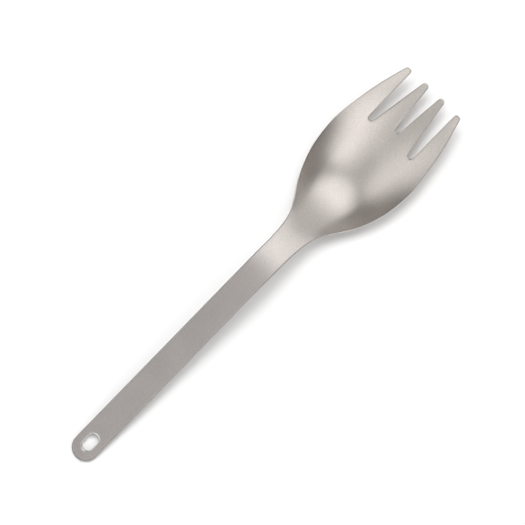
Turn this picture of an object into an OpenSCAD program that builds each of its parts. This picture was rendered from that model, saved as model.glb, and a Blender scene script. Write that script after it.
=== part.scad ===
// A camping spork: one blanked and pressed sheet of titanium, with nothing joined to it.
// It lies as on a table, on the end of its handle and the bottom of its bowl.

/* [Sheet] */
// Length from the handle's end to the tips of the inner tines, in plan
overall_l = 165; // [150:1:190]
// Thickness of the sheet
sheet_t = 1.2; // [0.8:0.1:1.6]

/* [Handle] */
// Width of the handle
handle_w = 9.1; // [7:0.1:12]
// Angle at which the handle climbs from the table
handle_angle = 9.4; // [6:0.2:12]
// Length of the hanging slot
slot_l = 6.3; // [5:0.1:9]
// Width of the hanging slot
slot_w = 3.9; // [2.5:0.1:4.5]
// Place of the slot's middle, from the handle's end
slot_x = 6.8; // [5.8:0.1:12]
// Place where the straight handle ends and the neck's bend begins
bend_x = 74.5; // [60:0.5:82]
// Length of the neck's bend
bend_l = 27; // [20:1:32]
// Angle at which the neck falls into the bowl
neck_angle = 22; // [14:0.5:26]

/* [Bowl] */
// Greatest width of the bowl
bowl_w = 34.7; // [28:0.1:42]
// Place where the neck starts to widen
flare_x = 92; // [88:1:96]
// Place where the hollow of the bowl begins
hollow_x = 99.5; // [96:0.5:102]
// Place of the bowl's lowest point
bottom_x = 127.5; // [118:0.5:134]
// Angle at which the bowl's edge climbs to the tine tips
rim_angle = 4.8; // [2:0.2:8]
// Depth of the hollow that is left at the tine tips
tip_hollow = 2.4; // [1:0.1:3.5]
// How flat the rear of the bowl is across: 2 is an even curve, and more has steeper sides
rear_flatness = 3.2; // [2:0.1:4]

/* [Tines] */
// Length of the two outer slots, along the tines
outer_gap_l = 20.9; // [16:0.1:24]
// Length of the middle slot, along the tines
middle_gap_l = 17.9; // [14:0.1:22]
// Radius of each slot's round end
root_r = 0.97; // [0.6:0.05:1.3]
// Distance from the middle line to the middle of an outer slot's round end
root_y = 8.85; // [7.5:0.05:10]
// Distance from the middle line to the middle of an inner tine's tip
inner_tip_y = 3.6; // [3:0.05:4.2]
// Radius of an inner tine's tip
inner_tip_r = 1.2; // [0.8:0.05:1.6]
// Radius of an outer tine's tip corners
outer_tip_r = 0.8; // [0.5:0.05:1.1]
// How much shorter an outer tine is cut than an inner one
outer_tip_set = 0.1; // [0:0.1:1.5]
// Lean of the slots' walls, square to the sheet at their round ends
gap_angle = 14; // [8:0.5:20]

/* [Hidden] */
$fn = 64;

// Half the width as shares: of the way from the flare to the tips, and from the handle's width to the bowl's
outline_shares = [
    [0, 0], [0.095, 0.03], [0.165, 0.115], [0.235, 0.335], [0.3, 0.58], [0.38, 0.785],
    [0.475, 0.93], [0.61, 1], [0.75, 0.905], [0.87, 0.775], [1, 0.565]
];
// Across, the front of the bowl is an even curve
front_flatness = 2;

// Slopes of the side view
handle_rise = tan(handle_angle);
neck_fall = tan(neck_angle);
rim_rise = tan(rim_angle);

// The handle is a hair thicker and wider than the curved sheet, which ends inside it
lap = sheet_t / 60;
handle_t = sheet_t + 2 * lap;
// The lower edge of the handle's end stands in from the upper one, because the handle leans
end_x = (sheet_t + lap) * sin(handle_angle);
// The bowl's edge turns from the neck's fall to the tines' rise beside the bowl's rear wall
hollow_l = bottom_x - hollow_x;
turn_x = hollow_x + sheet_t;
turn_l = hollow_l * 0.7;
// The hollow grows shallow towards the tines, and is even along the outer half of them
fade_l = (overall_l - bottom_x) * 0.8;
bowl_depth = rim_z(bottom_x);

// One named overrun for everything that is cut
cut = sheet_t;
gap_h = sheet_t * 12;
rows = 46;
columns = 20;
head_x = bend_x - sheet_t;
head_l = overall_l + cut - head_x;
probe = sheet_t / 100;

// A ramp from 0 to 1 with level ends, and its area from 0 to t
function ramp(t) = let(c = max(0, min(1, t))) c * c * (3 - 2 * c);
function ramp_area(t) = t <= 0 ? 0 : t >= 1 ? t - 1 / 2 : pow(t, 3) - pow(t, 4) / 2;

// Height of the sheet's underside along the bowl's edge, as in a side view
function rim_z(x) = (x - end_x) * handle_rise
    - (handle_rise + neck_fall) * bend_l * ramp_area((x - bend_x) / bend_l)
    + (neck_fall + rim_rise) * turn_l * ramp_area((x - turn_x) / turn_l);

// Depth of the hollow on the middle line
function hollow(x) = x < bottom_x
    ? bowl_depth * ramp((x - hollow_x) / hollow_l)
    : bowl_depth - (bowl_depth - tip_hollow) * ramp((x - bottom_x) / fade_l);

// How flat the bowl is across
function flatness(x) = rear_flatness
    + (front_flatness - rear_flatness) * ramp((x - hollow_x - hollow_l / 2) / (hollow_l * 0.8));

// Smooth curve through a table of shares
function tangent(table, i) = i == 0 ? 0 : let(next = min(i + 1, len(table) - 1))
    (table[next][1] - table[i - 1][1]) / (table[next][0] - table[i - 1][0]);
function span(table, s, i = 0) = i >= len(table) - 2 || s < table[i + 1][0] ? i : span(table, s, i + 1);
function curve(table, s) = let(
        i = span(table, s),
        step = table[i + 1][0] - table[i][0],
        t = (s - table[i][0]) / step,
        straight = table[i][1] + t * (table[i + 1][1] - table[i][1]),
        rise = table[i + 1][1] - table[i][1]
    ) straight + t * (1 - t) * ((1 - t) * (tangent(table, i) * step - rise)
        - t * (tangent(table, i + 1) * step - rise));

// Half the width of the spork in plan
function half_w(x) = handle_w / 2 + (x < flare_x ? 0
    : (bowl_w - handle_w) / 2 * curve(outline_shares, (x - flare_x) / (overall_l - flare_x)));

// The sheet's underside, and the way through the sheet from there, with which its edge is trimmed upright
function under(x, y) = rim_z(x) - hollow(x) * (1 - pow(abs(y) / half_w(x), flatness(x)));
function through(x, y) = let(
        along = (under(x + probe, y) - under(x - probe, y)) / (2 * probe),
        across = (under(x, y + probe) - under(x, y - probe)) / (2 * probe),
        way = [-along, 0, 1]
    ) way * norm([along, across, 1]) / (way * way);
function skin(x, share, height) = let(y = share * half_w(x))
    [x, y, under(x, y)] + height * (height == 0 ? [0, 0, 0] : through(x, y));

// Lowest point of the underside, which is set on the table
table_z = min([for (i = [0 : rows]) under(head_x + head_l * i / rows, 0), -lap * cos(handle_angle)]);

// The two triangles of a four-sided patch
function pair(a, b, c, d) = [[a, b, c], [a, c, d]];

// Neck, bowl and the sheet of the tines: one curved plate of even thickness
module head_sheet() {
    side = columns + 1;
    layer = side * (rows + 1);
    points = [for (height = [0, sheet_t], i = [0 : rows], j = [0 : columns])
        skin(head_x + head_l * i / rows, 2 * j / columns - 1, height)];
    function at(level, i, j) = level * layer + i * side + j;
    faces = [
        for (i = [0 : rows - 1], j = [0 : columns - 1])
            each pair(at(0, i, j), at(0, i + 1, j), at(0, i + 1, j + 1), at(0, i, j + 1)),
        for (i = [0 : rows - 1], j = [0 : columns - 1])
            each pair(at(1, i, j), at(1, i, j + 1), at(1, i + 1, j + 1), at(1, i + 1, j)),
        for (i = [0 : rows - 1]) each pair(at(0, i, 0), at(1, i, 0), at(1, i + 1, 0), at(0, i + 1, 0)),
        for (i = [0 : rows - 1])
            each pair(at(0, i, columns), at(0, i + 1, columns), at(1, i + 1, columns), at(1, i, columns)),
        for (j = [0 : columns - 1]) each pair(at(0, 0, j), at(0, 0, j + 1), at(1, 0, j + 1), at(1, 0, j)),
        for (j = [0 : columns - 1])
            each pair(at(0, rows, j), at(1, rows, j), at(1, rows, j + 1), at(0, rows, j + 1))
    ];
    polyhedron(points = points, faces = faces);
}

// Straight handle with its round end and its hanging slot
module handle() {
    length = (bend_x - end_x) / cos(handle_angle);
    width = handle_w + 2 * lap;
    translate([end_x, 0, 0]) rotate([0, -handle_angle, 0])
    translate([0, 0, -lap]) linear_extrude(handle_t) difference() {
        union() {
            translate([width / 2, 0]) circle(d = width);
            translate([width / 2, -width / 2]) square([length - width / 2, width]);
        }
        for (side = [-1, 1]) translate([slot_x + side * (slot_l - slot_w) / 2, 0]) circle(d = slot_w);
        translate([slot_x, 0]) square([slot_l - slot_w, slot_w], center = true);
    }
}

// Tines in plan, with their tips on the line x = 0 and their roots at negative x
tip_y = inner_tip_y + inner_tip_r;
outer_in_y = root_y + root_r;
outer_tip_x = -outer_tip_set - outer_tip_r;
tip_lean = atan((half_w(overall_l - outer_gap_l / 4) - half_w(overall_l)) / (outer_gap_l / 4));
outer_out_y = half_w(overall_l + outer_tip_x) - outer_tip_r / cos(tip_lean);

module inner_tine() {
    translate([-inner_tip_r, inner_tip_y]) circle(r = inner_tip_r);
    polygon([
        [-outer_gap_l - cut, root_y - root_r], [-outer_gap_l + root_r, root_y - root_r],
        [-inner_tip_r, tip_y], [-inner_tip_r, inner_tip_y - inner_tip_r],
        [-middle_gap_l + root_r, root_r], [-middle_gap_l + root_r, 0], [-outer_gap_l - cut, 0]
    ]);
}

module outer_tine() {
    reach = bowl_w;
    for (y = [outer_in_y + outer_tip_r, outer_out_y]) translate([outer_tip_x, y]) circle(r = outer_tip_r);
    translate([outer_tip_x, outer_in_y + outer_tip_r])
        square([outer_tip_r, outer_out_y - outer_in_y - outer_tip_r]);
    polygon([
        [-outer_gap_l - cut, outer_in_y], [outer_tip_x, outer_in_y], [outer_tip_x, outer_out_y],
        [outer_tip_x + reach * sin(tip_lean), outer_out_y + reach * cos(tip_lean)],
        [-outer_gap_l - cut, outer_out_y + reach * cos(tip_lean)]
    ]);
}

// Everything between and beyond the tines, and the slots' round ends
module gaps() {
    difference() {
        translate([-outer_gap_l + root_r, -bowl_w]) square([outer_gap_l + bowl_w / 2, 2 * bowl_w]);
        for (side = [0, 1]) mirror([0, side]) {
            inner_tine();
            outer_tine();
        }
    }
    for (side = [-1, 1]) translate([-outer_gap_l + root_r, side * root_y]) circle(r = root_r);
    translate([-middle_gap_l + root_r, 0]) circle(r = root_r);
}

module spork() {
    color([0.66, 0.64, 0.62]) translate([-overall_l / 2, 0, -table_z]) {
        handle();
        difference() {
            head_sheet();
            translate([overall_l, 0, under(overall_l, 0)]) rotate([0, -gap_angle, 0])
                linear_extrude(gap_h, center = true) gaps();
        }
    }
}

spork();
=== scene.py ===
import bpy
import bmesh
import math
from mathutils import Matrix, Vector


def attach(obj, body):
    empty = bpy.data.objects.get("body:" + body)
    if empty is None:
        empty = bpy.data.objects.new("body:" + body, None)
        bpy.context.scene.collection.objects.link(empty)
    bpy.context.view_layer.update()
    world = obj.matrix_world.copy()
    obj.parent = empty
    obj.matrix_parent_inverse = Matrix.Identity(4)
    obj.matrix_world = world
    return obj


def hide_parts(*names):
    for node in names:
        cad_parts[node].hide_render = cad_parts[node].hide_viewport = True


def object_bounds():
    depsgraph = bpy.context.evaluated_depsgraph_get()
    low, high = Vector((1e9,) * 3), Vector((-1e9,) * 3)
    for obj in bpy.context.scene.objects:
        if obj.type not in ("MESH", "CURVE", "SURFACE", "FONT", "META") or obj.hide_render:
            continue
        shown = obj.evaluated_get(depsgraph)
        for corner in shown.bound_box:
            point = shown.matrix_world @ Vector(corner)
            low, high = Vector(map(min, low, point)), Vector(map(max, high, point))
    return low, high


# a titanium camping spork: one blanked and pressed sheet, lying on a white table
# places are metres along the spork from the end of its handle, and metres from its middle line

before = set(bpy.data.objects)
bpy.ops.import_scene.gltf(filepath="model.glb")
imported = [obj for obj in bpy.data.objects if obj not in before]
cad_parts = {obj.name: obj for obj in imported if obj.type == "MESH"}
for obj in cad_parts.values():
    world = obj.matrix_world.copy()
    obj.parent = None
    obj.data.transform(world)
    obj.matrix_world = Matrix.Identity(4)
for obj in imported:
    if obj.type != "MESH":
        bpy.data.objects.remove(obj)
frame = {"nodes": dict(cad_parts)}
cadLow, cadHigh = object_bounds()
bpy.ops.object.select_all(action="DESELECT")
print("frame loaded:", ", ".join(frame["nodes"]))

sheet = {
    "length": 0.165,
    "thickness": 0.0012,
    "handleWidth": 0.0091,
    "handleAngle": math.radians(9.4),
    "bendStart": 0.0745,
    "bendLength": 0.027,
    "neckAngle": math.radians(22),
    "bowlWidth": 0.0347,
    "flareStart": 0.092,
    "hollowStart": 0.0995,
    "bowlBottom": 0.1275,
    "rimAngle": math.radians(4.8),
    "rimTurnStart": 0.1007,
    "rimTurnLength": 0.0196,
    "tipHollow": 0.0024,
    "fadeLength": 0.03,
    "rearFlatness": 3.2,     # how flat the bowl is across at its rear, where 2 is an even curve
    "frontFlatness": 2,
    "flatHold": 0.5,         # the rear's flatness holds for this share of the way to the bowl's bottom,
    "flatFade": 0.8,         # and fades over this share
    # half the width: share of the way from the flare to the tips, share of the way from handle to bowl
    "outlineShares": [
        (0, 0), (0.095, 0.03), (0.165, 0.115), (0.235, 0.335), (0.3, 0.58), (0.38, 0.785),
        (0.475, 0.93), (0.61, 1), (0.75, 0.905), (0.87, 0.775), (1, 0.565),
    ],
    "sharpFrom": math.radians(60),    # an edge with at least this angle is rounded
    "edgeRound": 0.00028,
    "edgeSteps": 2,
    "smoothing": 2,
    "mergeWithin": 0.00001,
}

handleRise = math.tan(sheet["handleAngle"])
neckFall = math.tan(sheet["neckAngle"])
rimRise = math.tan(sheet["rimAngle"])
handleEnd = sheet["thickness"] * math.sin(sheet["handleAngle"])
handleShare = math.cos(sheet["handleAngle"])


def ramp(t):
    t = min(max(t, 0), 1)
    return t * t * (3 - 2 * t)


def rampArea(t):
    if t <= 0:
        return 0
    return t - 0.5 if t >= 1 else t ** 3 - t ** 4 / 2


def rimHeight(x):
    turned = sheet["bendLength"] * rampArea((x - sheet["bendStart"]) / sheet["bendLength"])
    lifted = sheet["rimTurnLength"] * rampArea((x - sheet["rimTurnStart"]) / sheet["rimTurnLength"])
    return (x - handleEnd) * handleRise - (handleRise + neckFall) * turned + (neckFall + rimRise) * lifted


bowlDepth = rimHeight(sheet["bowlBottom"])
hollowLength = sheet["bowlBottom"] - sheet["hollowStart"]


def hollowDepth(x):
    if x < sheet["bowlBottom"]:
        t = (x - sheet["hollowStart"]) / hollowLength
        return bowlDepth * ramp(t)
    t = (x - sheet["bowlBottom"]) / sheet["fadeLength"]
    return bowlDepth - (bowlDepth - sheet["tipHollow"]) * ramp(t)


def flatness(x):
    t = (x - sheet["hollowStart"] - hollowLength * sheet["flatHold"]) / (hollowLength * sheet["flatFade"])
    return sheet["rearFlatness"] + (sheet["frontFlatness"] - sheet["rearFlatness"]) * ramp(t)


def outlineLean(k):
    shares = sheet["outlineShares"]
    if k == 0:
        return 0
    after = min(k + 1, len(shares) - 1)
    return (shares[after][1] - shares[k - 1][1]) / (shares[after][0] - shares[k - 1][0])


def halfWidth(x):
    shares = sheet["outlineShares"]
    s = (x - sheet["flareStart"]) / (sheet["length"] - sheet["flareStart"])
    if s <= 0:
        return sheet["handleWidth"] / 2
    k = max(n for n in range(len(shares) - 1) if shares[n][0] <= s)
    step = shares[k + 1][0] - shares[k][0]
    rise = shares[k + 1][1] - shares[k][1]
    t = (s - shares[k][0]) / step
    share = shares[k][1] + t * rise + t * (1 - t) * (
        (1 - t) * (outlineLean(k) * step - rise) - t * (outlineLean(k + 1) * step - rise))
    return sheet["handleWidth"] / 2 + (sheet["bowlWidth"] - sheet["handleWidth"]) / 2 * share


def pressedHeight(x, y):
    return rimHeight(x) - hollowDepth(x) * (1 - (abs(y) / halfWidth(x)) ** flatness(x))


def throughSheet(x, y):
    # from the underside to the upper side: the edge is trimmed upright, and leans only along the spork
    probe = sheet["thickness"] / 100
    along = (pressedHeight(x + probe, y) - pressedHeight(x - probe, y)) / (2 * probe)
    across = (pressedHeight(x, y + probe) - pressedHeight(x, y - probe)) / (2 * probe)
    way = Vector((-along, 0, 1))
    return way * sheet["thickness"] * Vector((along, across, 1)).length / way.length_squared


slot = {
    "centre": 0.0068,
    "length": 0.0063,
    "width": 0.0039,
    "edgeRound": 0.00012,
    # the press sinks a band of the upper side round the slot
    "coinDepth": 0.00026,
    "coinShape": (1, 0.42, 0, 0),    # share of it at the slot, half-way, at the rim and past the crease
    "coinAside": 0.25,       # share of it that is left beside the slot
    "coinInward": 0.55,      # and at its end towards the bowl
    "coinNear": 0.0005,      # the band's width at the handle's end,
    "coinSide": 0.00034,     # beside the slot
    "coinFar": 0.0009,       # and towards the bowl
    "creaseWidth": 0.00012,
    "ringEnd": 0.0132,       # the faces round the slot meet the straight handle here
    "plainRows": 3,
    "endSteps": 8,
    "sideSteps": 4,
    "cornerSteps": 3,
}

tines = {
    "outerRoot": 0.1451,
    "middleRoot": 0.1483,
    "rootRadius": 0.00097,
    "rootOffset": 0.00885,
    "innerTip": 0.1638,
    "innerTipOffset": 0.0036,
    "innerTipRadius": 0.0012,
    "outerTip": 0.1637,
    "outerTipRadius": 0.0008,
    "rootAngle": math.radians(55),
    "lanes": (2, 4, 4, 4),    # faces across half the middle gap, inner tine, outer gap, outer tine
    "tipRows": 2,             # rows of faces that round off the tips
}

# the blade's rows of faces: each stretch runs from one place to another in so many rows
rootInset = tines["rootRadius"] * math.cos(tines["rootAngle"])
bladeStart = handleEnd + slot["ringEnd"] * handleShare
stretches = [
    (sheet["bendStart"], 6),
    (sheet["hollowStart"], 14),
    (tines["outerRoot"] - 2 * tines["rootRadius"], 24),
    (tines["outerRoot"] - rootInset, 1),
    (tines["outerRoot"], 1),
    (tines["middleRoot"] - rootInset, 2),
    (tines["middleRoot"], 1),
    (tines["innerTip"], 10),
]
stations = [bladeStart]
for end, count in stretches:
    start = stations[-1]
    stations += [start + (end - start) * (k + 1) / count for k in range(count)]
outerRootRow = sum(count for _, count in stretches[:4])       # where the gaps' round ends meet their sides
middleRootRow = sum(count for _, count in stretches[:6])
tipRow = len(stations) - 1
bladeRows = tipRow + tines["tipRows"]
lowestPoint = min(pressedHeight(x, 0) for x in stations)
laneEnds = [sum(tines["lanes"][:k]) for k in range(5)]
rootShares = [y / halfWidth(tines["outerRoot"]) for y in (
    0, tines["rootRadius"], tines["rootOffset"] - tines["rootRadius"],
    tines["rootOffset"] + tines["rootRadius"], halfWidth(tines["outerRoot"]))]


def between(a, b, t):
    return a + (b - a) * t


def laneSides(row):
    x = stations[min(row, tipRow)]
    inset = tines["rootRadius"] * math.sin(tines["rootAngle"])
    if row < outerRootRow:
        return [share * halfWidth(x) for share in rootShares]
    along = (x - tines["outerRoot"]) / (tines["innerTip"] - tines["outerRoot"])
    innerOut = between(tines["rootOffset"] - tines["rootRadius"],
                       tines["innerTipOffset"] + tines["innerTipRadius"], along)
    outerIn = tines["rootOffset"] + tines["rootRadius"]
    if row == outerRootRow:
        innerOut = tines["rootOffset"] - inset
        outerIn = tines["rootOffset"] + inset
    middle = tines["rootRadius"]
    if row == middleRootRow:
        middle = inset
    if row > middleRootRow:
        along = (x - tines["middleRoot"]) / (tines["innerTip"] - tines["middleRoot"])
        middle = between(middle, tines["innerTipOffset"] - tines["innerTipRadius"], along)
    return [0, middle, innerOut, outerIn, halfWidth(x)]


def roundTip(nearSide, farSide, radius, farAngle, across, rounding):
    # a point of a tine's end, which goes from straight to round as rounding goes from 0 to 1
    def onFront(reach):
        angle = between(-math.pi / 2, farAngle, across) * reach
        return nearSide.lerp(farSide, across) + radius * Vector((math.cos(angle), math.sin(angle)))

    if across in (0, 1):
        return onFront(1 - rounding / 2)      # a corner on the tine's side ends half-way round
    farEdge = farSide.y + radius * math.sin(farAngle)
    straight = Vector((nearSide.x, between(nearSide.y - radius, farEdge, across)))
    return straight.lerp(onFront(0.5), rounding)


def onRoot(x, y, angle):
    return x - tines["rootRadius"] * math.cos(angle), y + tines["rootRadius"] * math.sin(angle)


def bladePoint(row, column):
    lane = max(n for n in range(4) if laneEnds[n] <= column)
    if column == laneEnds[2] and row > outerRootRow:
        lane = 1          # beyond the outer gap's root this column is the inner tine's edge
    across = (column - laneEnds[lane]) / tines["lanes"][lane]
    sides = laneSides(row)
    x = stations[min(row, tipRow)]
    y = between(sides[lane], sides[lane + 1], across)
    if row == outerRootRow and lane == 2:
        angle = between(-tines["rootAngle"], tines["rootAngle"], across)
        return onRoot(tines["outerRoot"], tines["rootOffset"], angle)
    if row == middleRootRow and lane == 0:
        return onRoot(tines["middleRoot"], 0, tines["rootAngle"] * across)
    if lane == 3 and row > middleRootRow:
        along = (min(row, tipRow) - middleRootRow) / (tipRow - middleRootRow)
        x -= (tines["innerTip"] - tines["outerTip"]) * along
    if row < tipRow:
        return x, y
    rounding = (row - tipRow) / tines["tipRows"]
    if lane == 1:
        centre = Vector((tines["innerTip"], tines["innerTipOffset"]))
        return roundTip(centre, centre, tines["innerTipRadius"], math.pi / 2, across, rounding)
    radius = tines["outerTipRadius"]
    end = tines["outerTip"]
    reach = 4 * radius        # the outline's lean at the tip is measured over this length
    fall = math.atan((halfWidth(end - reach) - halfWidth(end)) / reach)
    near = Vector((end, sides[3] + radius))
    far = Vector((end, halfWidth(end) - radius / math.cos(fall)))
    return roundTip(near, far, radius, math.pi / 2 - fall, across, rounding)


ringSteps = slot["endSteps"] + slot["sideSteps"] + slot["cornerSteps"] + laneEnds[4]
coinRows = len(slot["coinShape"]) - 1      # rows of faces over the sunk band and its crease


def slotAngle(step):
    # which way the slot's edge faces: half a turn at the handle's end, 0 at the bowl's side
    if step <= slot["endSteps"]:
        return math.pi - math.pi / 2 * step / slot["endSteps"]
    straight = slot["endSteps"] + slot["sideSteps"]
    return math.pi / 2 * (1 - max(step - straight, 0) / (ringSteps - straight))


def slotRingPoint(step, out):
    # a point of the ring round the hanging slot: step runs round half of it, out goes from slot to edge
    radius = slot["width"] / 2
    halfStraight = (slot["length"] - slot["width"]) / 2
    edge = sheet["handleWidth"] / 2
    rounded = slot["endSteps"]
    straight = rounded + slot["sideSteps"]
    corner = straight + slot["cornerSteps"]
    cornerStart = slot["centre"] + halfStraight + radius / 2      # outside, the steps spread out from here
    angle = slotAngle(step)
    if step <= rounded:
        middle = slot["centre"] - halfStraight
        coin = between(slot["coinNear"], slot["coinSide"], math.sin(angle))
        outer = Vector((edge + edge * math.cos(angle), edge * math.sin(angle)))
    elif step <= straight:
        share = (step - rounded) / slot["sideSteps"]
        middle = slot["centre"] + halfStraight * (2 * share - 1)
        coin = slot["coinSide"]
        outer = Vector((between(edge, cornerStart, share), edge))
    else:
        middle = slot["centre"] + halfStraight
        coin = between(slot["coinSide"], slot["coinFar"], math.cos(angle))
        if step <= corner:
            share = (step - straight) / slot["cornerSteps"]
            outer = Vector((between(cornerStart, slot["ringEnd"], share), edge))
        else:
            outer = Vector((slot["ringEnd"], bladePoint(0, ringSteps - step)[1]))
    reach = (0, coin / 2, coin, coin + slot["creaseWidth"])
    away = Vector((math.cos(angle), math.sin(angle)))
    place = Vector((middle, 0)) + away * (radius + reach[min(out, coinRows)])
    if out > coinRows:
        place = place.lerp(outer, (out - coinRows) / slot["plainRows"])
    return handleEnd + place.x * handleShare, place.y


def layGrid(name, rows, columns, placeOf, cutAway=None):
    # lays a square grid, cuts faces out of it and slides its corners to their places on the flat blank
    bpy.ops.mesh.primitive_grid_add(x_subdivisions=rows, y_subdivisions=columns, size=1)
    grid = bpy.context.object
    grid.name = name
    if cutAway:
        bpy.ops.object.mode_set(mode="EDIT")
        bpy.ops.mesh.select_mode(type="FACE")
        bpy.ops.mesh.select_all(action="DESELECT")
        blank = bmesh.from_edit_mesh(grid.data)
        for face in blank.faces:
            middle = face.calc_center_median()
            face.select_set(cutAway(int((middle.x + 0.5) * rows), int((middle.y + 0.5) * columns)))
        bmesh.update_edit_mesh(grid.data)
        bpy.ops.mesh.delete(type="FACE")
        bpy.ops.object.mode_set(mode="OBJECT")
    for corner in grid.data.vertices:
        x, y = placeOf(round((corner.co.x + 0.5) * rows), round((corner.co.y + 0.5) * columns))
        corner.co = (x, y, 0)
    return grid


slotEdgeGroup, coinGroup = range(2)      # in the order in which markCoin makes them


def markCoin(ring):
    # the slot's edge and the sunk band's depth, as weights that the other half and the upper side get too
    slotEdge = ring.vertex_groups.new(name="slotEdge")
    coin = ring.vertex_groups.new(name="coin")
    perRow = ringSteps + 1
    slotEdge.add(range(perRow), 1, "REPLACE")
    for step in range(perRow):
        facing = math.cos(slotAngle(step))
        depth = between(slot["coinAside"], 1 if facing < 0 else slot["coinInward"], abs(facing))
        for out, share in enumerate(slot["coinShape"]):
            coin.add([out * perRow + step], depth * share, "REPLACE")


def coinShare(corner):
    return sum(part.weight for part in corner.groups if part.group == coinGroup)


def inGap(row, column):
    outer = row >= outerRootRow and laneEnds[2] <= column < laneEnds[3]
    return outer or row >= middleRootRow and column < laneEnds[1]


def bevelEdges(mesh, wanted, width, lookSlot):
    bpy.ops.mesh.select_mode(type="EDGE")
    bpy.ops.mesh.select_all(action="DESELECT")
    shape = bmesh.from_edit_mesh(mesh)
    weights = shape.verts.layers.deform.verify()
    for edge in shape.edges:
        edge.select_set(wanted(edge, weights))
    bmesh.update_edit_mesh(mesh)
    bpy.ops.mesh.bevel(offset=width, segments=sheet["edgeSteps"], affect="EDGES", material=lookSlot)


def isSlotEdge(edge, weights):
    # an edge that runs along the slot, and not one that goes down through the sheet
    first, second = edge.verts
    level = abs(first.co.z - second.co.z) < edge.calc_length() / 2
    return level and all(slotEdgeGroup in corner[weights] for corner in edge.verts)


def isSheetEdge(edge, weights):
    return len(edge.link_faces) == 2 and edge.calc_face_angle() > sheet["sharpFrom"]


# bare titanium, blasted to a fine even grain
metal = {
    "grainSize": 3300,
    "grainDetail": 2,
    "grainSpread": (0.25, 0.75),    # the grain's noise lies between these values
    "grainDepth": 0.000009,
    "patchSize": 150,
    "patchDetail": 4,
    "patchSpread": (0.3, 0.7),
    "brightFrom": -0.0225,          # the colour grows brighter and warmer from this X of the frame
    "brightTo": 0.0675,             # to this one, towards the tines: painted light, for the light the bowl's walls throw on each other
    "mottling": 0.3,
    "fleckRange": (0.91, 1.09),
    "fineShare": 0.8,               # share of the grain in the height, beside the patches
}

# the cut and rounded edges get a darker colour, a painted shade for the dark surroundings they reflect;
# the press burnishes the sunk band smoother, and its lighter colour is a painted sheen
finishesAndPaintedLight = {
    "blastedTitanium": {
        "Handle Color": (0.615, 0.575, 0.552, 1),
        "Tine Color": (0.742, 0.692, 0.65, 1),
        "Smoothest": 0.45,
        "Roughest": 0.48,
    },
    # painted shade: a darker colour on the edges, for the dark surroundings their rounding reflects
    "cutEdgePaintedShade": {
        "Handle Color": (0.32, 0.3, 0.288, 1),
        "Tine Color": (0.62, 0.578, 0.543, 1),
        "Smoothest": 0.38,
        "Roughest": 0.42,
    },
    # its lower roughness is the burnish; its lighter colour is a painted sheen
    "burnishedBandPaintedSheen": {
        "Handle Color": (0.7, 0.665, 0.645, 1),
        "Tine Color": (0.76, 0.712, 0.672, 1),
        "Smoothest": 0.32,
        "Roughest": 0.36,
    },
}
shadedEdgeSlot, sheenBandSlot = 1, 2         # their places in that list


def makeGrain():
    group = bpy.data.node_groups.new("blastedGrain", "ShaderNodeTree")
    kinds = {"Vector": "NodeSocketVector", "Color": "NodeSocketColor"}
    inputs = "Vector", "Handle Color", "Tine Color", "Grain Size", "Patch Size", "Smoothest", "Roughest"
    for side, names in (("INPUT", inputs), ("OUTPUT", ("Color", "Roughness", "Height"))):
        for name in names:
            kind = kinds.get(name.split()[-1], "NodeSocketFloat")
            group.interface.new_socket(name=name, in_out=side, socket_type=kind)
    nodes = group.nodes
    links = group.links
    given = nodes.new("NodeGroupInput").outputs
    result = nodes.new("NodeGroupOutput").inputs

    def noise(size, detail):
        texture = nodes.new("ShaderNodeTexNoise")
        texture.inputs["Detail"].default_value = detail
        links.new(given["Vector"], texture.inputs["Vector"])
        links.new(size, texture.inputs["Scale"])
        return texture.outputs["Fac"]

    def mapRange(value, fromLow, fromHigh, low=0, high=1):
        change = nodes.new("ShaderNodeMapRange")
        change.interpolation_type = "SMOOTHSTEP"
        ends = {"From Min": fromLow, "From Max": fromHigh, "To Min": low, "To Max": high}
        links.new(value, change.inputs["Value"])
        for name, end in ends.items():
            if isinstance(end, (int, float)):
                change.inputs[name].default_value = end
            else:
                links.new(end, change.inputs[name])
        return change.outputs["Result"]

    def combine(operation, first, second, third=0):
        step = nodes.new("ShaderNodeMath")
        step.operation = operation
        for socket, value in zip(step.inputs, (first, second, third)):
            if isinstance(value, (int, float)):
                socket.default_value = value
            else:
                links.new(value, socket)
        return step.outputs["Value"]

    patches = noise(given["Patch Size"], metal["patchDetail"])
    grain = noise(given["Grain Size"], metal["grainDetail"])
    place = nodes.new("ShaderNodeSeparateXYZ")
    links.new(given["Vector"], place.inputs["Vector"])
    # painted light: the colour brightens and warms along X towards the tines, as the bowl's walls light
    # each other
    bright = mapRange(place.outputs["X"], metal["brightFrom"], metal["brightTo"])
    middle = sum(metal["patchSpread"]) / 2
    bright = combine("MULTIPLY_ADD", combine("SUBTRACT", patches, middle), metal["mottling"], bright)
    color = nodes.new("ShaderNodeMix")
    color.data_type = "RGBA"
    mixed = {socket.identifier: socket for socket in list(color.inputs) + list(color.outputs)}
    links.new(bright, mixed["Factor_Float"])
    links.new(given["Handle Color"], mixed["A_Color"])
    links.new(given["Tine Color"], mixed["B_Color"])
    fleck = nodes.new("ShaderNodeVectorMath")
    fleck.operation = "SCALE"
    links.new(mixed["Result_Color"], fleck.inputs["Vector"])
    links.new(mapRange(grain, *metal["grainSpread"], *metal["fleckRange"]), fleck.inputs["Scale"])
    links.new(fleck.outputs["Vector"], result["Color"])
    height = combine("MULTIPLY_ADD", grain, metal["fineShare"],
                     combine("MULTIPLY", patches, 1 - metal["fineShare"]))
    rough = mapRange(patches, *metal["patchSpread"], given["Smoothest"], given["Roughest"])
    links.new(rough, result["Roughness"])
    links.new(height, result["Height"])
    return group


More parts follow.
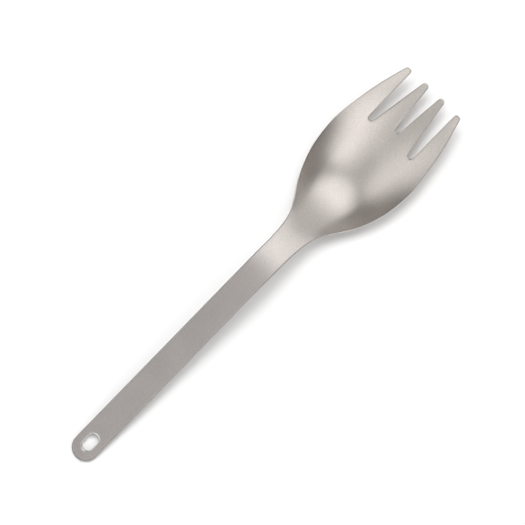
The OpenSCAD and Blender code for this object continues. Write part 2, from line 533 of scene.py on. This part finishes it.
def makeMetal(name, look):
    material = bpy.data.materials.new(name)
    material.use_nodes = True
    nodes = material.node_tree.nodes
    links = material.node_tree.links
    shader = nodes["Principled BSDF"]
    shader.inputs["Metallic"].default_value = 1
    place = nodes.new("ShaderNodeTexCoord")
    grain = nodes.new("ShaderNodeGroup")
    grain.node_tree = blastedGrain
    for socket, value in look.items():
        grain.inputs[socket].default_value = value
    grain.inputs["Grain Size"].default_value = metal["grainSize"]
    grain.inputs["Patch Size"].default_value = metal["patchSize"]
    bump = nodes.new("ShaderNodeBump")
    bump.inputs["Distance"].default_value = metal["grainDepth"]
    links.new(place.outputs["Object"], grain.inputs["Vector"])
    links.new(grain.outputs["Color"], shader.inputs["Base Color"])
    links.new(grain.outputs["Roughness"], shader.inputs["Roughness"])
    links.new(grain.outputs["Height"], bump.inputs["Height"])
    links.new(bump.outputs["Normal"], shader.inputs["Normal"])
    return material


blastedGrain = makeGrain()
print("blasted metal ready")


def makeSpork():
    ring = layGrid("slotRing", ringSteps, coinRows + slot["plainRows"], slotRingPoint)
    markCoin(ring)
    blade = layGrid("titaniumSheet", bladeRows, laneEnds[4], bladePoint, inGap)
    ring.select_set(True)
    bpy.context.view_layer.objects.active = blade
    bpy.ops.object.join()
    bpy.ops.object.mode_set(mode="EDIT")
    bpy.ops.mesh.select_all(action="SELECT")
    bpy.ops.mesh.remove_doubles(threshold=sheet["mergeWithin"])
    bpy.ops.object.mode_set(mode="OBJECT")
    for name, look in finishesAndPaintedLight.items():
        blade.data.materials.append(makeMetal(name, look))
    mirror = blade.modifiers.new("otherHalf", "MIRROR")
    mirror.use_axis = (False, True, False)
    mirror.merge_threshold = sheet["mergeWithin"]
    bpy.ops.object.modifier_apply(modifier=mirror.name)
    print("blank laid out:", len(blade.data.polygons), "faces")

    # the press: every corner of the flat blank drops to the height of the pressed sheet
    for corner in blade.data.vertices:
        corner.co.z = pressedHeight(corner.co.x, corner.co.y)
    wall = blade.modifiers.new("sheetThickness", "SOLIDIFY")
    wall.thickness = sheet["thickness"]
    wall.offset = 1
    # the sheet's cut sides get the darkened edge colour, a painted shade
    wall.material_offset_rim = shadedEdgeSlot
    bpy.ops.object.modifier_apply(modifier=wall.name)
    corners = blade.data.vertices
    upperCount = len(corners) // 2
    for high, low in zip(corners[:upperCount], corners[upperCount:]):
        high.co = low.co + throughSheet(low.co.x, low.co.y)
        high.co.z -= slot["coinDepth"] * coinShare(high)
    # the sunk band's faces get the lighter colour, a painted sheen, and the burnish's lower roughness
    for face in blade.data.polygons:
        if max(face.vertices) < upperCount and any(coinShare(corners[k]) > 0 for k in face.vertices):
            face.material_index = sheenBandSlot
    print("sheet pressed and given its thickness")

    bpy.ops.object.mode_set(mode="EDIT")
    # the rounded slot edges get that painted sheen too
    bevelEdges(blade.data, isSlotEdge, slot["edgeRound"], sheenBandSlot)
    # the rounded sheet edges get that painted shade too
    bevelEdges(blade.data, isSheetEdge, sheet["edgeRound"], shadedEdgeSlot)
    bpy.ops.mesh.select_all(action="SELECT")
    bpy.ops.mesh.normals_make_consistent(inside=False)
    bpy.ops.transform.translate(value=(cadLow.x, 0, cadLow.z - lowestPoint))
    bpy.ops.object.mode_set(mode="OBJECT")
    smooth = blade.modifiers.new("smoothForm", "SUBSURF")
    smooth.levels = sheet["smoothing"]
    bpy.ops.object.modifier_apply(modifier=smooth.name)
    bpy.ops.object.shade_smooth()
    print("edges rounded:", len(blade.data.polygons), "faces")
    return blade


spork = makeSpork()
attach(spork, "root")
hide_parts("spork")


table = {
    "size": 4,
    "color": (0.8, 0.8, 0.8, 1),
    "roughness": 0.9,
    "glow": 0.03,         # white that the camera and the metal see, and that lights nothing
}


def makeTable():
    bpy.ops.mesh.primitive_plane_add(size=table["size"])
    paper = bpy.context.object
    paper.name = "tablePaper"
    material = bpy.data.materials.new("whitePaper")
    material.use_nodes = True
    nodes = material.node_tree.nodes
    links = material.node_tree.links
    shader = nodes["Principled BSDF"]
    shader.inputs["Base Color"].default_value = table["color"]
    shader.inputs["Roughness"].default_value = table["roughness"]
    shader.inputs["Specular IOR Level"].default_value = 0
    shader.inputs["Emission Color"].default_value = (1, 1, 1, 1)
    seen = nodes.new("ShaderNodeLightPath")
    shown = seen.outputs["Is Camera Ray"]
    for ray in ("Is Glossy Ray", "Is Transmission Ray"):
        either = nodes.new("ShaderNodeMath")
        either.operation = "MAXIMUM"
        links.new(shown, either.inputs[0])
        links.new(seen.outputs[ray], either.inputs[1])
        shown = either.outputs["Value"]
    glow = nodes.new("ShaderNodeMath")
    glow.operation = "MULTIPLY"
    glow.inputs[1].default_value = table["glow"]
    links.new(shown, glow.inputs[0])
    links.new(glow.outputs["Value"], shader.inputs["Emission Strength"])
    paper.data.materials.append(material)


makeTable()


studio = {
    "room": 0.02,         # even light from all round
    # bearing from +X and height above the table in degrees, distance in metres,
    # width and height as seen from the spork in degrees, watts
    "softboxes": {
        "roofBox": (0, 85, 1.5, 30, 30, 0.67),
        "tineBoxHigh": (0, 68, 1.5, 27, 20, 2.5),
        "tineBoxLeft": (30, 54, 1.5, 34, 18, 1.9),
        "tineBoxRight": (-30, 50, 1.5, 34, 18, 1.33),
        "tineBoxMiddle": (0, 47, 1.5, 44, 14, 1.63),
        "tineBoxLow": (0, 22, 1.5, 84, 16, 2.85),
        "handleBox": (180, 38, 1.5, 66, 16, 5.9),
        "handleBoxLeft": (118, 38, 1.5, 36, 46, 5.4),
        "handleBoxRight": (-118, 38, 1.5, 30, 46, 6.3),
        "nearBox": (-126, 70, 0.48, 18, 18, 0.1),
        "paperBox": (45, 70, 1.5, 22, 22, 13.8),
    },
    "onPaperOnly": "paperBox",
}


def makeStudio():
    world = bpy.data.worlds.new("studioRoom")
    bpy.context.scene.world = world
    world.use_nodes = True
    room = world.node_tree.nodes["Background"]
    room.inputs["Color"].default_value = (1, 1, 1, 1)
    room.inputs["Strength"].default_value = studio["room"]
    for name, (bearing, height, distance, wide, tall, watts) in studio["softboxes"].items():
        turn, lift = math.radians(bearing), math.radians(height)
        away = Vector((math.cos(turn) * math.cos(lift), math.sin(turn) * math.cos(lift), math.sin(lift)))
        lamp = bpy.data.lights.new(name, "AREA")
        lamp.shape = "RECTANGLE"
        lamp.size = 2 * distance * math.tan(math.radians(wide / 2))
        lamp.size_y = 2 * distance * math.tan(math.radians(tall / 2))
        lamp.energy = watts
        box = bpy.data.objects.new(name, lamp)
        box.location = away * distance
        box.rotation_euler = away.to_track_quat("Z", "Y").to_euler()
        box.visible_glossy = name != studio["onPaperOnly"]
        bpy.context.scene.collection.objects.link(box)


makeStudio()


camera = {
    "distance": 1.1,
    "lens": 234.3,
    "aim": (0.00446, 0.00113, 0.005),
    "turn": math.radians(45.3),
    "leanAlong": math.radians(1.1),
    "leanAcross": math.radians(2.8),
}


def makeCamera():
    view = bpy.data.objects.new("photoCamera", bpy.data.cameras.new("photoCamera"))
    bpy.context.scene.collection.objects.link(view)
    view.data.lens = camera["lens"]
    look = Vector((math.sin(camera["leanAlong"]), math.sin(camera["leanAcross"]), -1)).normalized()
    up = Vector((math.sin(camera["turn"]), math.cos(camera["turn"]), 0))
    up = (up - look * up.dot(look)).normalized()
    right = look.cross(up)
    turned = Matrix((right, up, -look)).transposed().to_4x4()
    place = Vector(camera["aim"]) - look * camera["distance"]
    view.matrix_world = Matrix.Translation(place) @ turned
    bpy.context.scene.camera = view


makeCamera()
bpy.context.scene.view_settings.view_transform = "Standard"
print("table, lights and camera set")
